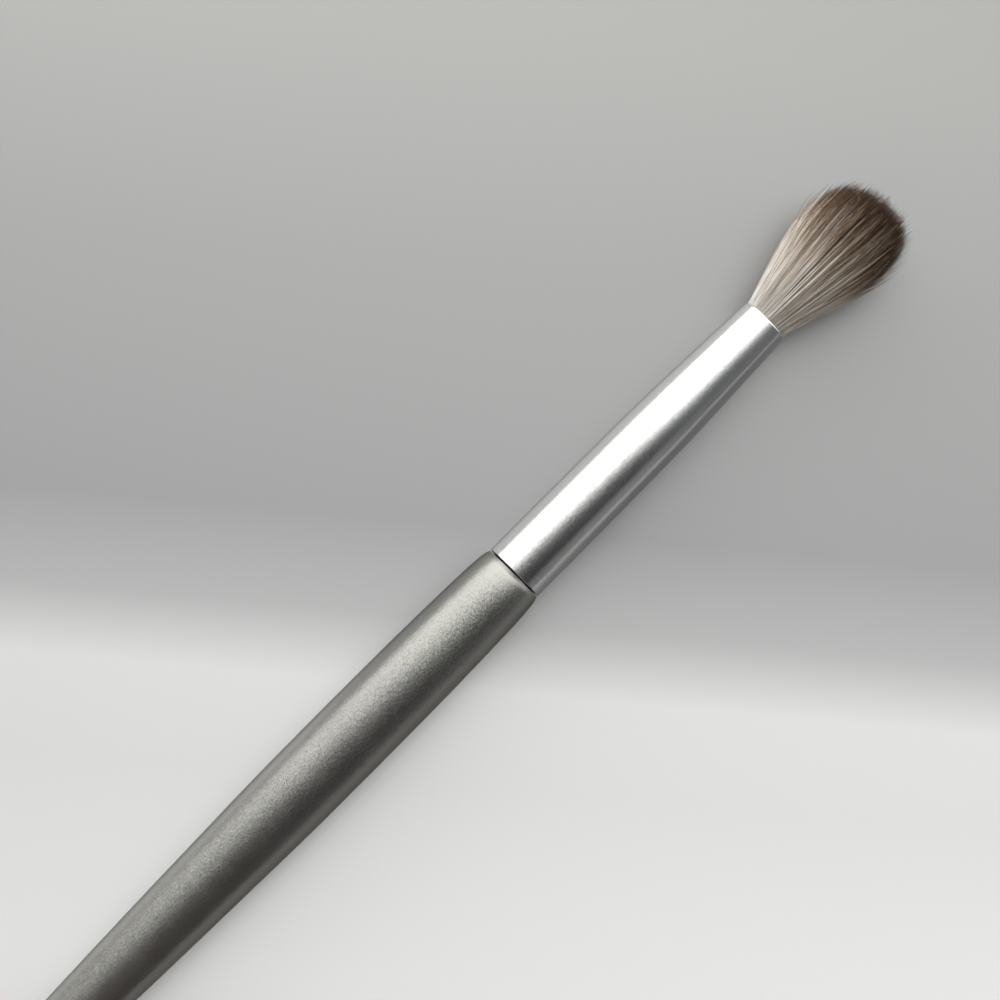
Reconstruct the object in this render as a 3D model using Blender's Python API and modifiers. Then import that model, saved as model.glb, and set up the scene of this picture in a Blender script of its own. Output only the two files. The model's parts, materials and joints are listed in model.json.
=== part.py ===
"""Blending brush for eye make-up, lying on its side as it rests on a table.

The brush is first built upright round its own axis: height zero is the handle's
shoulder, the hair points up and the tail points down. An empty then lays it down
along +X, at the slight slope at which the head and the handle's belly both touch
the ground plane. Every length is in metres.
"""

import math

import bmesh
import bpy

# Handle
HANDLE_LENGTH = 0.1110
HANDLE_BELLY_DIAMETER = 0.0097
HANDLE_TAIL_DIAMETER = 0.0047
HANDLE_RIM_STEP = 0.00008
TAIL_ROUND_LENGTH = 0.0019
TAIL_FLAT_DIAMETER = 0.0024

# How far the radius has grown from the rim to the belly, by share of the handle's length.
HANDLE_FRONT_SHARES = (
    (0.000, 0.00),
    (0.0045, 0.25),
    (0.011, 0.38),
    (0.033, 0.59),
    (0.100, 0.83),
    (0.165, 0.96),
    (0.250, 1.00),
)
# How far the radius still stands above the tail's, by share of the handle's length.
HANDLE_BACK_SHARES = (
    (0.250, 1.00),
    (0.340, 0.985),
    (0.450, 0.885),
    (0.600, 0.71),
    (0.750, 0.47),
    (0.880, 0.22),
    (1.000, 0.00),
)

# Tenon, turned in one with the handle
TENON_LENGTH = 0.0140
TENON_CHAMFER = 0.0008
GLUE_GROOVES = 3
GLUE_GROOVE_DEPTH = 0.00025
GLUE_GROOVE_WIDTH = 0.0010

# Glue between tenon and ferrule
GLUE_THICKNESS = 0.00022
GLUE_CLEARANCE = 0.0001
GLUE_END_SETBACK = 0.0010

# Ferrule
FERRULE_LENGTH = 0.0435
FERRULE_BASE_DIAMETER = 0.0081
FERRULE_MOUTH_DIAMETER = 0.0065
FERRULE_WALL = 0.00035
FERRULE_BASE_EDGE = 0.00012
JOINT_GAP = 0.00016

# How far the radius stands above the mouth's, by share of the ferrule's length from its base.
FERRULE_OUTLINE_SHARES = (
    (0.00, 1.00),
    (0.25, 0.96),
    (0.45, 0.925),
    (0.55, 0.88),
    (0.64, 0.75),
    (0.82, 0.40),
    (1.00, 0.00),
)

# Hair
HAIR_OUT_LENGTH = 0.0204
HEAD_DIAMETER = 0.01216
HEAD_DOME_HEIGHT = 0.0066
HEAD_FLARE_POWER = 1.45
HEAD_DOME_POWER = 2.6
TIP_LENGTH = 0.0016
TIP_UNEVENNESS = 0.0005
HAIR_RINGS = 10
HAIRS_PER_RING_STEP = 6
ROOT_WIDTH_SHARE = 0.34
HEAD_WIDTH_SHARE = 0.41
FLARE_STATION_SHARES = (0.36, 0.80)
CORE_STATION_SHARES = (0.80,)
RINGS_WITH_ALL_STATIONS = 7

# Root bed, sliced into one disc and three rings, and what lies behind it
ROOT_BED_DEPTH = 0.0005
ROOT_BED_THICKNESS = 0.0015
ROOT_BED_CLEARANCE = 0.00012
SLICE_GAP = 0.00006
PLUG_GAP = 0.0001
PLUG_LENGTH = 0.0070
PLUG_CLEARANCE = 0.0001
PLUG_CHAMFER = 0.0004
BAND_WIDTH = 0.0020
BAND_THICKNESS = 0.0004
BAND_CLEARANCE = 0.0001

# Each bundle's name with its innermost and outermost ring of hair and its slice's sides.
HAIR_BUNDLES = (
    ("hair_core", 0, 3, 24),
    ("hair_inner", 4, 6, 24),
    ("hair_middle", 7, 8, 32),
    ("hair_outer", 9, 10, 36),
)

# How finely the round pieces are divided
ROUND_SIDES = 36
EDGE_STEPS = 4
HANDLE_STEPS = 2
FERRULE_STEPS = 10
PLUG_STEPS = 3
SMOOTH_ANGLE = math.radians(35.0)
MERGE_DISTANCE = 0.000001
EVEN_SPREAD_SHARE = 0.618034


def clear_scene():
    """Remove every object of the open file."""
    for item in list(bpy.data.objects):
        bpy.data.objects.remove(item, do_unlink=True)


def new_collection(name):
    """Make a collection in the scene."""
    collection = bpy.data.collections.new(name)
    bpy.context.scene.collection.children.link(collection)
    return collection


def new_finish(name, colour, roughness, metallic):
    """Make a plain Principled finish."""
    finish = bpy.data.materials.new(name)
    finish.use_nodes = True
    finish.diffuse_color = (*colour, 1.0)
    shader = finish.node_tree.nodes["Principled BSDF"]
    shader.inputs["Base Color"].default_value = (*colour, 1.0)
    shader.inputs["Roughness"].default_value = roughness
    shader.inputs["Metallic"].default_value = metallic
    return finish


def slope_at(points, index):
    """Slope of a smooth curve at one of its points, level at a peak and at both ends of a flat."""
    before = points[max(index - 1, 0)]
    here = points[index]
    after = points[min(index + 1, len(points) - 1)]
    if before is here:
        return (after[1] - here[1]) / (after[0] - here[0])
    if after is here:
        return (here[1] - before[1]) / (here[0] - before[0])
    slope_in = (here[1] - before[1]) / (here[0] - before[0])
    slope_out = (after[1] - here[1]) / (after[0] - here[0])
    if slope_in * slope_out <= 0.0:
        return 0.0
    return 2.0 * slope_in * slope_out / (slope_in + slope_out)


def smooth_value(points, along):
    """Read a smooth curve through (place, value) points, which never overshoots them."""
    index = 0
    while index < len(points) - 2 and along > points[index + 1][0]:
        index += 1
    start, end = points[index], points[index + 1]
    span = end[0] - start[0]
    part = (along - start[0]) / span
    square, cube = part * part, part * part * part
    value = start[1] * (2.0 * cube - 3.0 * square + 1.0)
    value += end[1] * (3.0 * square - 2.0 * cube)
    value += slope_at(points, index) * span * (cube - 2.0 * square + part)
    value += slope_at(points, index + 1) * span * (cube - square)
    return value


def divided_places(points, steps):
    """List the places of a curve's points, with each stretch between two divided into equal steps."""
    places = [points[0][0]]
    for start, end in zip(points, points[1:]):
        for step in range(1, steps + 1):
            places.append(start[0] + (end[0] - start[0]) * step / steps)
    return places


def round_edge(centre_radius, centre_height, radius, start_angle, end_angle):
    """Points of a rounded edge, an arc in the plane of a turned profile."""
    points = []
    for step in range(EDGE_STEPS + 1):
        angle = start_angle + (end_angle - start_angle) * step / EDGE_STEPS
        across = centre_radius + radius * math.cos(angle)
        up = centre_height + radius * math.sin(angle)
        points.append((across, up))
    return points


def turned_piece(name, outline, closed, finish, collection, sides=ROUND_SIDES):
    """Turn an outline of (radius, height) points, which runs down its outer side, round the axis."""
    mesh = bpy.data.meshes.new(name)
    profile = bmesh.new()
    corners = [profile.verts.new((radius, 0.0, height)) for radius, height in outline]
    for start, end in zip(corners, corners[1:]):
        profile.edges.new((start, end))
    if closed:
        profile.edges.new((corners[-1], corners[0]))
    profile.to_mesh(mesh)
    profile.free()
    piece = bpy.data.objects.new(name, mesh)
    collection.objects.link(piece)
    turn = piece.modifiers.new("turn", "SCREW")
    turn.axis = "Z"
    turn.angle = math.tau
    turn.steps = sides
    turn.render_steps = sides
    turn.use_merge_vertices = True
    turn.merge_threshold = MERGE_DISTANCE
    settle_shape(piece)
    piece.data.materials.append(finish)
    return piece


def settle_shape(piece):
    """Replace a piece's mesh by its evaluated shape, shaded smooth except at its edges."""
    bpy.context.view_layer.update()
    evaluated = piece.evaluated_get(bpy.context.evaluated_depsgraph_get())
    mesh = bpy.data.meshes.new_from_object(evaluated)
    mesh.name = piece.name
    piece.modifiers.clear()
    piece.data = mesh
    mesh.shade_smooth()
    mesh.set_sharp_from_angle(angle=SMOOTH_ANGLE)


def ferrule_radius(height):
    """Outer radius of the ferrule at a height above the handle's shoulder."""
    share = (height - JOINT_GAP) / FERRULE_LENGTH
    spread = FERRULE_BASE_DIAMETER - FERRULE_MOUTH_DIAMETER
    return (FERRULE_MOUTH_DIAMETER + spread * smooth_value(FERRULE_OUTLINE_SHARES, share)) / 2.0


def bore_radius(height):
    """Inner radius of the ferrule at a height above the handle's shoulder."""
    return ferrule_radius(height) - FERRULE_WALL


def mouth_height():
    """Height of the ferrule's mouth above the handle's shoulder."""
    return JOINT_GAP + FERRULE_LENGTH


def tenon_radius():
    """Radius of the tenon, which leaves room for the glue all along its length."""
    return bore_radius(TENON_LENGTH) - GLUE_THICKNESS - 2.0 * GLUE_CLEARANCE


def tenon_outline():
    """Points down the tenon's side: chamfered nose, glue grooves and foot."""
    radius = tenon_radius()
    points = [(0.0, TENON_LENGTH), (radius - TENON_CHAMFER, TENON_LENGTH)]
    points.append((radius, TENON_LENGTH - TENON_CHAMFER))
    for groove in range(GLUE_GROOVES):
        middle = TENON_LENGTH * (GLUE_GROOVES - groove) / (GLUE_GROOVES + 1)
        top = middle + GLUE_GROOVE_WIDTH / 2.0
        bottom = middle - GLUE_GROOVE_WIDTH / 2.0
        points.append((radius, top))
        points.append((radius - GLUE_GROOVE_DEPTH, top - GLUE_GROOVE_DEPTH))
        points.append((radius - GLUE_GROOVE_DEPTH, bottom + GLUE_GROOVE_DEPTH))
        points.append((radius, bottom))
    points.append((radius, 0.0))
    return points


def handle_side():
    """Points down the handle's visible side, from its rim at the joint to the start of the tail's round."""
    rim = FERRULE_BASE_DIAMETER / 2.0 - HANDLE_RIM_STEP
    belly = HANDLE_BELLY_DIAMETER / 2.0
    tail = HANDLE_TAIL_DIAMETER / 2.0
    reach = HANDLE_LENGTH - TAIL_ROUND_LENGTH
    points = []
    for share in divided_places(HANDLE_FRONT_SHARES, HANDLE_STEPS):
        radius = rim + (belly - rim) * smooth_value(HANDLE_FRONT_SHARES, share)
        points.append((radius, -reach * share))
    for share in divided_places(HANDLE_BACK_SHARES, HANDLE_STEPS)[1:]:
        radius = tail + (belly - tail) * smooth_value(HANDLE_BACK_SHARES, share)
        points.append((radius, -reach * share))
    return points


def tail_round():
    """Points round the tail's end, from its side to the small flat."""
    flat = TAIL_FLAT_DIAMETER / 2.0
    tail = HANDLE_TAIL_DIAMETER / 2.0
    points = []
    for step in range(1, EDGE_STEPS + 1):
        angle = math.pi / 2.0 * step / EDGE_STEPS
        radius = flat + (tail - flat) * math.cos(angle)
        points.append((radius, TAIL_ROUND_LENGTH * (1.0 - math.sin(angle)) - HANDLE_LENGTH))
    return points


def make_handle(collection):
    """Painted wooden handle with its tenon."""
    finish = new_finish("silver_paint", (0.42, 0.415, 0.385), 0.42, 0.85)
    outline = tenon_outline() + handle_side() + tail_round() + [(0.0, -HANDLE_LENGTH)]
    return turned_piece("handle", outline, False, finish, collection)


def make_ferrule(collection):
    """Tapered aluminium tube with a rounded mouth."""
    finish = new_finish("satin_aluminium", (0.80, 0.80, 0.79), 0.24, 1.0)
    half_wall = FERRULE_WALL / 2.0
    rim_height = mouth_height() - half_wall
    rim_radius = ferrule_radius(mouth_height()) - half_wall
    outline = round_edge(rim_radius, rim_height, half_wall, math.pi, 0.0)
    heights = []
    for step in range(1, FERRULE_STEPS):
        heights.append(mouth_height() - FERRULE_LENGTH * step / FERRULE_STEPS)
    outline += [(ferrule_radius(height), height) for height in heights]
    base = ferrule_radius(JOINT_GAP)
    outline.append((base, JOINT_GAP + FERRULE_BASE_EDGE))
    outline.append((base - FERRULE_BASE_EDGE, JOINT_GAP))
    outline.append((base - FERRULE_WALL, JOINT_GAP))
    outline += [(bore_radius(height), height) for height in reversed(heights)]
    return turned_piece("ferrule", outline, True, finish, collection)


def make_tenon_glue(collection):
    """Sleeve of cured glue between the tenon and the ferrule's bore."""
    finish = new_finish("cured_glue", (0.62, 0.52, 0.30), 0.35, 0.0)
    outer = bore_radius(TENON_LENGTH) - GLUE_CLEARANCE
    inner = outer - GLUE_THICKNESS
    top = TENON_LENGTH - GLUE_END_SETBACK
    bottom = JOINT_GAP + GLUE_END_SETBACK
    outline = [(outer, top), (outer, bottom), (inner, bottom), (inner, top)]
    return turned_piece("tenon_glue", outline, True, finish, collection)


def bed_top():
    """Height of the root bed's upper face, just inside the ferrule's mouth."""
    return mouth_height() - ROOT_BED_DEPTH


def plug_top():
    """Height of the root plug's upper face, under the root bed."""
    return bed_top() - ROOT_BED_THICKNESS - PLUG_GAP


def band_middle():
    """Height of the middle of the root band, and of its groove in the plug."""
    return plug_top() - PLUG_LENGTH / 2.0


def band_outer_radius():
    """Outer radius of the root band, flush with the plug."""
    return bore_radius(band_middle() + BAND_WIDTH / 2.0) - PLUG_CLEARANCE


def make_root_plug(collection):
    """Cast resin plug behind the hair, tapered like the bore, with a groove for the band."""
    finish = new_finish("clear_resin", (0.55, 0.42, 0.22), 0.20, 0.0)
    top = plug_top()
    bottom = top - PLUG_LENGTH
    groove_half = BAND_WIDTH / 2.0 + BAND_CLEARANCE
    groove_radius = band_outer_radius() - BAND_THICKNESS - BAND_CLEARANCE
    groove_top = band_middle() + groove_half
    groove_bottom = band_middle() - groove_half
    outline = [(0.0, top)]
    outline.append((bore_radius(top) - PLUG_CLEARANCE - PLUG_CHAMFER, top))
    for step in range(PLUG_STEPS + 1):
        height = top - PLUG_CHAMFER - (top - PLUG_CHAMFER - groove_top) * step / PLUG_STEPS
        outline.append((bore_radius(height) - PLUG_CLEARANCE, height))
    outline.append((groove_radius, groove_top))
    outline.append((groove_radius, groove_bottom))
    for step in range(PLUG_STEPS + 1):
        height = groove_bottom - (groove_bottom - bottom - PLUG_CHAMFER) * step / PLUG_STEPS
        outline.append((bore_radius(height) - PLUG_CLEARANCE, height))
    outline.append((bore_radius(bottom) - PLUG_CLEARANCE - PLUG_CHAMFER, bottom))
    outline.append((0.0, bottom))
    return turned_piece("root_plug", outline, False, finish, collection)


def make_root_band(collection):
    """Thin band round the fibres' lower ends, in the plug's groove."""
    finish = new_finish("tie_band", (0.10, 0.10, 0.11), 0.60, 0.0)
    outer = band_outer_radius()
    inner = outer - BAND_THICKNESS
    top = band_middle() + BAND_WIDTH / 2.0
    bottom = band_middle() - BAND_WIDTH / 2.0
    outline = [(outer, top), (outer, bottom), (inner, bottom), (inner, top)]
    return turned_piece("root_band", outline, True, finish, collection)


def bed_radius():
    """Radius of the whole root bed, which passes through the ferrule's mouth."""
    return bore_radius(mouth_height()) - ROOT_BED_CLEARANCE


def ring_pitch():
    """Distance between two rings of hair at the root."""
    return bed_radius() / (HAIR_RINGS + 0.5)


def widest_height():
    """Height at which the head is widest and its dome begins."""
    return mouth_height() + HAIR_OUT_LENGTH - HEAD_DOME_HEIGHT


def head_pitch():
    """Distance between two rings of hair where the head is widest, its outermost hairs' faces included."""
    return HEAD_DIAMETER / 2.0 / (HAIR_RINGS + HEAD_WIDTH_SHARE / 2.0)


def pitch_at(height):
    """Distance between two rings of hair at a height, for the flare from the root to the head."""
    flared = (height - bed_top()) / (widest_height() - bed_top())
    flared = min(max(flared, 0.0), 1.0)
    opened = 1.0 - (1.0 - flared) ** HEAD_FLARE_POWER
    return ring_pitch() + (head_pitch() - ring_pitch()) * opened


def hair_width_share(height):
    """Radius of a hair's section as a share of the distance between rings."""
    flared = (height - bed_top()) / (widest_height() - bed_top())
    flared = min(max(flared, 0.0), 1.0)
    return ROOT_WIDTH_SHARE + (HEAD_WIDTH_SHARE - ROOT_WIDTH_SHARE) * flared


def hair_end(ring, index):
    """Height at which a hair ends, on the dome or a little under it."""
    across = ring * head_pitch() / (HEAD_DIAMETER / 2.0)
    rise = (1.0 - across ** HEAD_DOME_POWER) ** (1.0 / HEAD_DOME_POWER)
    shortened = TIP_UNEVENNESS * ((index * EVEN_SPREAD_SHARE) % 1.0)
    return widest_height() + HEAD_DOME_HEIGHT * rise - shortened


def hair_sections(ring, index):
    """Height, distance from the axis and section radius at each station of one hair, from the bed up."""
    shares = FLARE_STATION_SHARES if ring >= RINGS_WITH_ALL_STATIONS else CORE_STATION_SHARES
    rise = widest_height() - bed_top()
    heights = [bed_top() - ROOT_BED_THICKNESS / 2.0, bed_top()]
    heights += [bed_top() + rise * share for share in shares]
    heights.append(hair_end(ring, index) - TIP_LENGTH)
    sections = []
    for height in heights:
        pitch = pitch_at(height)
        sections.append((height, ring * pitch, pitch * hair_width_share(height)))
    return sections


def hair_angle(ring, index):
    """Direction of a hair round the axis; each ring is turned against the next, so no spokes form."""
    if ring == 0:
        return 0.0
    turned = ((HAIR_RINGS - ring) * EVEN_SPREAD_SHARE) % 1.0
    return math.tau * (index + turned) / (HAIRS_PER_RING_STEP * ring)


def section_place(angle, distance, radius, corner, height):
    """One corner of a hair's three-cornered section, which has a flat side facing outward."""
    turn = angle + math.radians(60.0 - 120.0 * corner)
    across = distance * math.cos(angle) + radius * math.cos(turn)
    aside = distance * math.sin(angle) + radius * math.sin(turn)
    return (across, aside, height)


def add_hair(shape, ring, index):
    """Draw one hair from its pointed tip down to its root in the middle of the root bed."""
    angle = hair_angle(ring, index)
    tip = hair_end(ring, index)
    point = bmesh.ops.create_cone(shape, cap_ends=True, segments=3, radius1=1.0, radius2=0.0, depth=1.0)
    apex = max(point["verts"], key=lambda vertex: vertex.co.z)
    base = min(apex.link_faces[0].edges, key=lambda edge: sum(vertex.co.z for vertex in edge.verts))
    face = next(side for side in base.link_faces if apex not in side.verts)
    reach = ring * pitch_at(tip)
    apex.co = (reach * math.cos(angle), reach * math.sin(angle), tip)
    for number, (height, distance, radius) in enumerate(reversed(hair_sections(ring, index))):
        if number > 0:
            drawn = bmesh.ops.extrude_discrete_faces(shape, faces=[face])
            face = drawn["faces"][0]
        for corner, vertex in enumerate(face.verts):
            vertex.co = section_place(angle, distance, radius, corner, height)


def hair_strands(name, first_ring, last_ring, collection):
    """All hairs of one bundle, as a guide that is joined to its slice of the root bed."""
    shape = bmesh.new()
    for ring in range(first_ring, last_ring + 1):
        for index in range(max(HAIRS_PER_RING_STEP * ring, 1)):
            add_hair(shape, ring, index)
    mesh = bpy.data.meshes.new(name)
    shape.to_mesh(mesh)
    shape.free()
    guide = bpy.data.objects.new(name, mesh)
    guide.hide_render = True
    guide.display_type = "WIRE"
    collection.objects.link(guide)
    return guide


def slice_outline(first_ring, last_ring):
    """Outline of one slice of the root bed: a disc for the core, and rings round it."""
    half_gap = SLICE_GAP / 2.0
    outer = (last_ring + 0.5) * ring_pitch() - half_gap
    top = bed_top()
    bottom = top - ROOT_BED_THICKNESS
    if first_ring == 0:
        return [(0.0, top), (outer, top), (outer, bottom), (0.0, bottom)]
    inner = (first_ring - 0.5) * ring_pitch() + half_gap
    return [(outer, top), (outer, bottom), (inner, bottom), (inner, top)]


def make_hair_bundle(bundle, finish, collection, guides):
    """One bundle of hairs, fused to its slice of the root bed."""
    name, first_ring, last_ring, sides = bundle
    outline = slice_outline(first_ring, last_ring)
    piece = turned_piece(name, outline, first_ring > 0, finish, collection, sides)
    strands = hair_strands(name + "_strands", first_ring, last_ring, guides)
    join = piece.modifiers.new("join_strands", "BOOLEAN")
    join.operation = "UNION"
    join.solver = "EXACT"
    join.object = strands
    return piece, strands


def support_slope(side):
    """Slope at which the laid-down brush touches the ground with both its head and its handle."""
    flat_share = math.cos(math.pi / ROUND_SIDES)
    slopes = []
    for radius, height in side:
        rises = []
        for hair_height, distance, section in hair_sections(HAIR_RINGS, 0):
            face = distance + section / 2.0
            rises.append((face - radius * flat_share) / (hair_height - height))
        slopes.append(max(rises))
    return math.atan(min(slopes))


def support_lift(side, slope):
    """Height of the shoulder's centre above the ground once the brush lies at its slope."""
    flat_share = math.cos(math.pi / ROUND_SIDES)
    return max(radius * flat_share * math.cos(slope) - height * math.sin(slope) for radius, height in side)


def lay_down(pieces, collection):
    """Lay the brush along +X on the ground plane, with its length centred over the origin."""
    side = handle_side()
    slope = support_slope(side)
    top = mouth_height() + HAIR_OUT_LENGTH
    rest = bpy.data.objects.new("lying_rest", None)
    collection.objects.link(rest)
    rest.rotation_euler = (0.0, math.pi / 2.0 - slope, 0.0)
    rest.location.x = (HANDLE_LENGTH - top) / 2.0 * math.cos(slope)
    rest.location.z = support_lift(side, slope)
    for piece in pieces:
        piece.parent = rest


def build_brush():
    """Build every piece upright and lay the brush down."""
    clear_scene()
    brush = new_collection("blending_brush")
    guides = new_collection("guides")
    turned = [make_handle(brush), make_ferrule(brush), make_tenon_glue(brush)]
    turned += [make_root_plug(brush), make_root_band(brush)]
    for piece in turned:
        piece.rotation_euler.z = math.pi / ROUND_SIDES
    pieces = list(turned)
    hair_finish = new_finish("two_tone_fibre", (0.33, 0.27, 0.22), 0.55, 0.0)
    for bundle in HAIR_BUNDLES:
        pieces += make_hair_bundle(bundle, hair_finish, brush, guides)
    lay_down(pieces, brush)


build_brush()
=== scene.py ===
"""Looks of the blending brush: painted handle, satin aluminium ferrule and a head of fine fibres."""
import json
import math

import bmesh
import bpy
import numpy as np
from mathutils import Matrix, Vector


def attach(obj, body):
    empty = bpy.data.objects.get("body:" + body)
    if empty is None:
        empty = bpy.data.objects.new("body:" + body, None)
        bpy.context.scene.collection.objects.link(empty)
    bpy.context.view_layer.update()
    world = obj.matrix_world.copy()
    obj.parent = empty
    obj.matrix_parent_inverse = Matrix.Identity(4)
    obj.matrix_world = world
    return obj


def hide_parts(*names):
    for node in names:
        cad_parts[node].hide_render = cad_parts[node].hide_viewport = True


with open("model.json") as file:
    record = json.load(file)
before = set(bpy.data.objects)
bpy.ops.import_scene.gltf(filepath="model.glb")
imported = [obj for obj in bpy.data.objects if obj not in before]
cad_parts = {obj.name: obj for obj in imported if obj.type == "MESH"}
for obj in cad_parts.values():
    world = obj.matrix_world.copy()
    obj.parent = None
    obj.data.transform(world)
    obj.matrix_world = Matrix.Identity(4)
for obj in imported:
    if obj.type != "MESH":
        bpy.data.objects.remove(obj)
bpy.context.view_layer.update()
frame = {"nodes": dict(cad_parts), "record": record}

# The camera: where the joint of handle and ferrule lies in the photograph, and how the brush points
IMAGE_SIZE = 1000
JOINT_PIXEL = (514.0, 573.0)
BRUSH_ANGLE = math.radians(45.1)
BRUSH_TILT_AWAY = math.radians(2.3)
JOINT_DISTANCE = 0.3130
LENS = 92.6
SENSOR = 36.0
NEAREST_SEEN = 0.01
FARTHEST_SEEN = 10.0

# The two lamps: their angles round the brush from straight over it, and how far they lead to the head
KEY_ANGLE = math.radians(74.0)
KEY_RADIANCE = 8.0
KEY_COLOUR = (0.965, 1.0, 1.05)
FILL_ANGLE = math.radians(-62.0)
FILL_RADIANCE = 0.9
FILL_COLOUR = (1.0, 1.0, 1.0)
LAMP_LEAD = 0.25
LAMP_DISTANCE = 0.6
LAMP_SIDE = 0.42

# The studio's bright side: limits say how far a direction lies along the lit side, the brush or over it
LIGHT_SLANT = math.radians(34.0)
LIT_LIMITS = (-0.18, 0.82)
WIDENING = 0.17
WIDENING_LIMITS = (0.05, 0.15)
BRIGHT_STOPS = (
    (0.08, (0.0, 0.0, 0.0)),
    (0.23, (0.14, 0.14, 0.14)),
    (0.34, (0.56, 0.56, 0.555)),
    (0.44, (1.20, 1.20, 1.18)),
    (0.54, (1.66, 1.66, 1.63)),
    (0.70, (2.00, 2.00, 1.96)),
)
LOW_LIMITS = (-0.04, 0.36)
LOW_LIGHT = 0.80
TAIL_LIMITS = (-0.36, 0.09)
TAIL_LIGHT = 0.10

# The studio's dim side: the dark flag on the right, and the low glow beside the ferrule's base
DIM_GREY = (0.14, 0.14, 0.14, 1.0)
FLAG_SIDE_LIMITS = (-0.28, 0.02)
FLAG_TAIL_LIMITS = (-0.90, -0.70)
FLAG_HEAD_LIMITS = (0.50, 0.20)
FLAG_WARMTH_LIMITS = (-0.3, 0.1)
WARM_FLAG = (0.042, 0.028, 0.026, 1.0)
COOL_FLAG = (0.026, 0.028, 0.031, 1.0)
GLOW_SIDE_LIMITS = (0.80, 0.96)
GLOW_TAIL_LIMITS = (-0.02, 0.06)
GLOW_HEAD_LIMITS = (0.18, 0.06)
LOW_GLOW = (0.25, 0.25, 0.248, 1.0)

# The studio's two ends, behind the tail and ahead of the hair
BEHIND_LIMITS = (-0.42, -0.68)
BEHIND_LIGHT = (0.90, 0.90, 0.895, 1.0)
AHEAD_LIMITS = (0.50, 0.85)
AHEAD_SIDE_LIMITS = (-0.10, 0.60)
AHEAD_RIGHT = (0.10, 0.10, 0.10, 1.0)
AHEAD_LEFT = (1.35, 1.35, 1.34, 1.0)

# The floor: its colours from the tail's side on, up the camera's view, and how it shines
FLOOR_SLANT = 0.09
FLOOR_LIMITS = (-0.035, 0.085)
FLOOR_STOPS = (
    (0.00, (0.97, 0.97, 0.97)),
    (0.12, (0.88, 0.88, 0.88)),
    (0.22, (0.80, 0.80, 0.80)),
    (0.32, (0.775, 0.775, 0.775)),
    (0.39, (0.50, 0.50, 0.505)),
    (0.49, (0.375, 0.375, 0.38)),
    (0.76, (0.375, 0.375, 0.375)),
    (1.00, (0.40, 0.40, 0.392)),
)
FLOOR_METALLIC = 0.92
FLOOR_ROUGHNESS = 0.48
FLOOR_RIM_TINT = (0.6, 0.6, 0.6, 1.0)
FLOOR_SPECULAR = 0.1
FLOOR_LEAN = 0.09
FLOOR_HALF_SIDE = 3.0

# How finely the turned pieces are drawn
ROUND_STEPS = 160
JOIN_DISTANCE = 0.000001
ON_AXIS = JOIN_DISTANCE * 2.0
SIDE_WIDTH = math.radians(0.5)
SMOOTH_ANGLE = math.radians(35.0)
GENTLE_BEND = math.radians(14.0)
OUTLINE_STEP = 0.0008
EDGE_MARGIN = 0.00006
SHORTEST_WITH_MARGINS = EDGE_MARGIN * 4.0

# The paint, and the bare wood strip before the ferrule's end, painted near-black as the joint gap's shade
PAINT_DARK = (0.375, 0.371, 0.347, 1.0)
PAINT_PALE = (0.425, 0.421, 0.397, 1.0)
PAINT_FLAKES = 13000.0
PAINT_FLAKE_TILT = 0.15
PAINT_CLOUDS = 420.0
PAINT_ROUGHNESS = (0.28, 0.34)
PAINT_RIM_TINT = (0.3, 0.3, 0.3, 1.0)
BARE_WOOD_GAP_SHADE = (0.020, 0.014, 0.010, 1.0)
BARE_WOOD_ROUGHNESS = 0.8
JOINT_LINE_WIDTH = 0.00017
JOINT_LINE_SOFTNESS = 0.00001

# The ferrule's aluminium
METAL_DARK = (0.86, 0.86, 0.855, 1.0)
METAL_PALE = (0.91, 0.91, 0.90, 1.0)
METAL_GRAINS = 9000.0
METAL_GRAIN_TILT = 0.035
METAL_CLOUDS = 300.0
METAL_CLOUD_DETAIL = 4.0
METAL_ROUGHNESS = (0.185, 0.215)
METAL_RIM_TINT = (0.5, 0.5, 0.5, 1.0)

# The pieces inside: finish, darker and paler colour, roughness, and clouds per metre
CLOUD_DETAIL = 3.0
INNER_FINISHES = {
    "tenon_glue": ("amber_glue", (0.62, 0.50, 0.28, 1.0), (0.70, 0.60, 0.38, 1.0), 0.35, 900.0),
    "root_plug": ("set_resin", (0.50, 0.38, 0.20, 1.0), (0.62, 0.50, 0.30, 1.0), 0.22, 700.0),
    "root_band": ("dark_band", (0.08, 0.08, 0.09, 1.0), (0.13, 0.13, 0.14, 1.0), 0.6, 1500.0),
}

# The fibres' colours from root to tip, and how single fibres depart from them
FIBRE_STOPS = (
    # Painted shade: the root end is darker than the middle, for the shade among the crowded fibres at the
    # ferrule's mouth
    (0.00, (0.66, 0.63, 0.59)),
    (0.30, (0.735, 0.70, 0.65)),
    (0.62, (0.80, 0.735, 0.65)),
    (0.73, (0.49, 0.378, 0.275)),
    (0.84, (0.165, 0.102, 0.058)),
    (0.93, (0.088, 0.050, 0.027)),
    (1.00, (0.050, 0.027, 0.014)),
)
# Painted shade: the darkest classes, mostly inner fibres, are browner and turn brown lower down, for the
# shaded gaps between wisps
DARKEST_FIBRE = (0.47, 0.41, 0.35, 1.0)
PALEST_FIBRE = (1.03, 1.03, 1.03, 1.0)
LATE_COLUMNS = (0.78, 1.0)
LATE_SHIFT = 0.25
EARLY_SHADE_COLUMNS = (0.0, 0.10)
EARLY_SHADE_SHIFT = 0.35
UNEVEN_SHIFT = (-0.10, 0.06)
FIBRE_ROUGHNESS = 0.42
FIBRE_SPECULAR = 0.25

# The head's form
DOME_HEIGHT = 0.0066
FLARE_POWER = 1.17
DOME_POWER = 2.6
BED_DEPTH = 0.0005
BED_THICKNESS = 0.0015
BED_CLEARANCE = 0.00012
BUNDLE_NAMES = ("core", "inner", "middle", "outer")
BUNDLE_SHARES = (0.0, 0.333, 0.619, 0.81, 1.0)
SLICE_GAP = 0.00006
SLICE_STEPS = 48
BED_CHART_SHARE = 0.04

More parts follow.
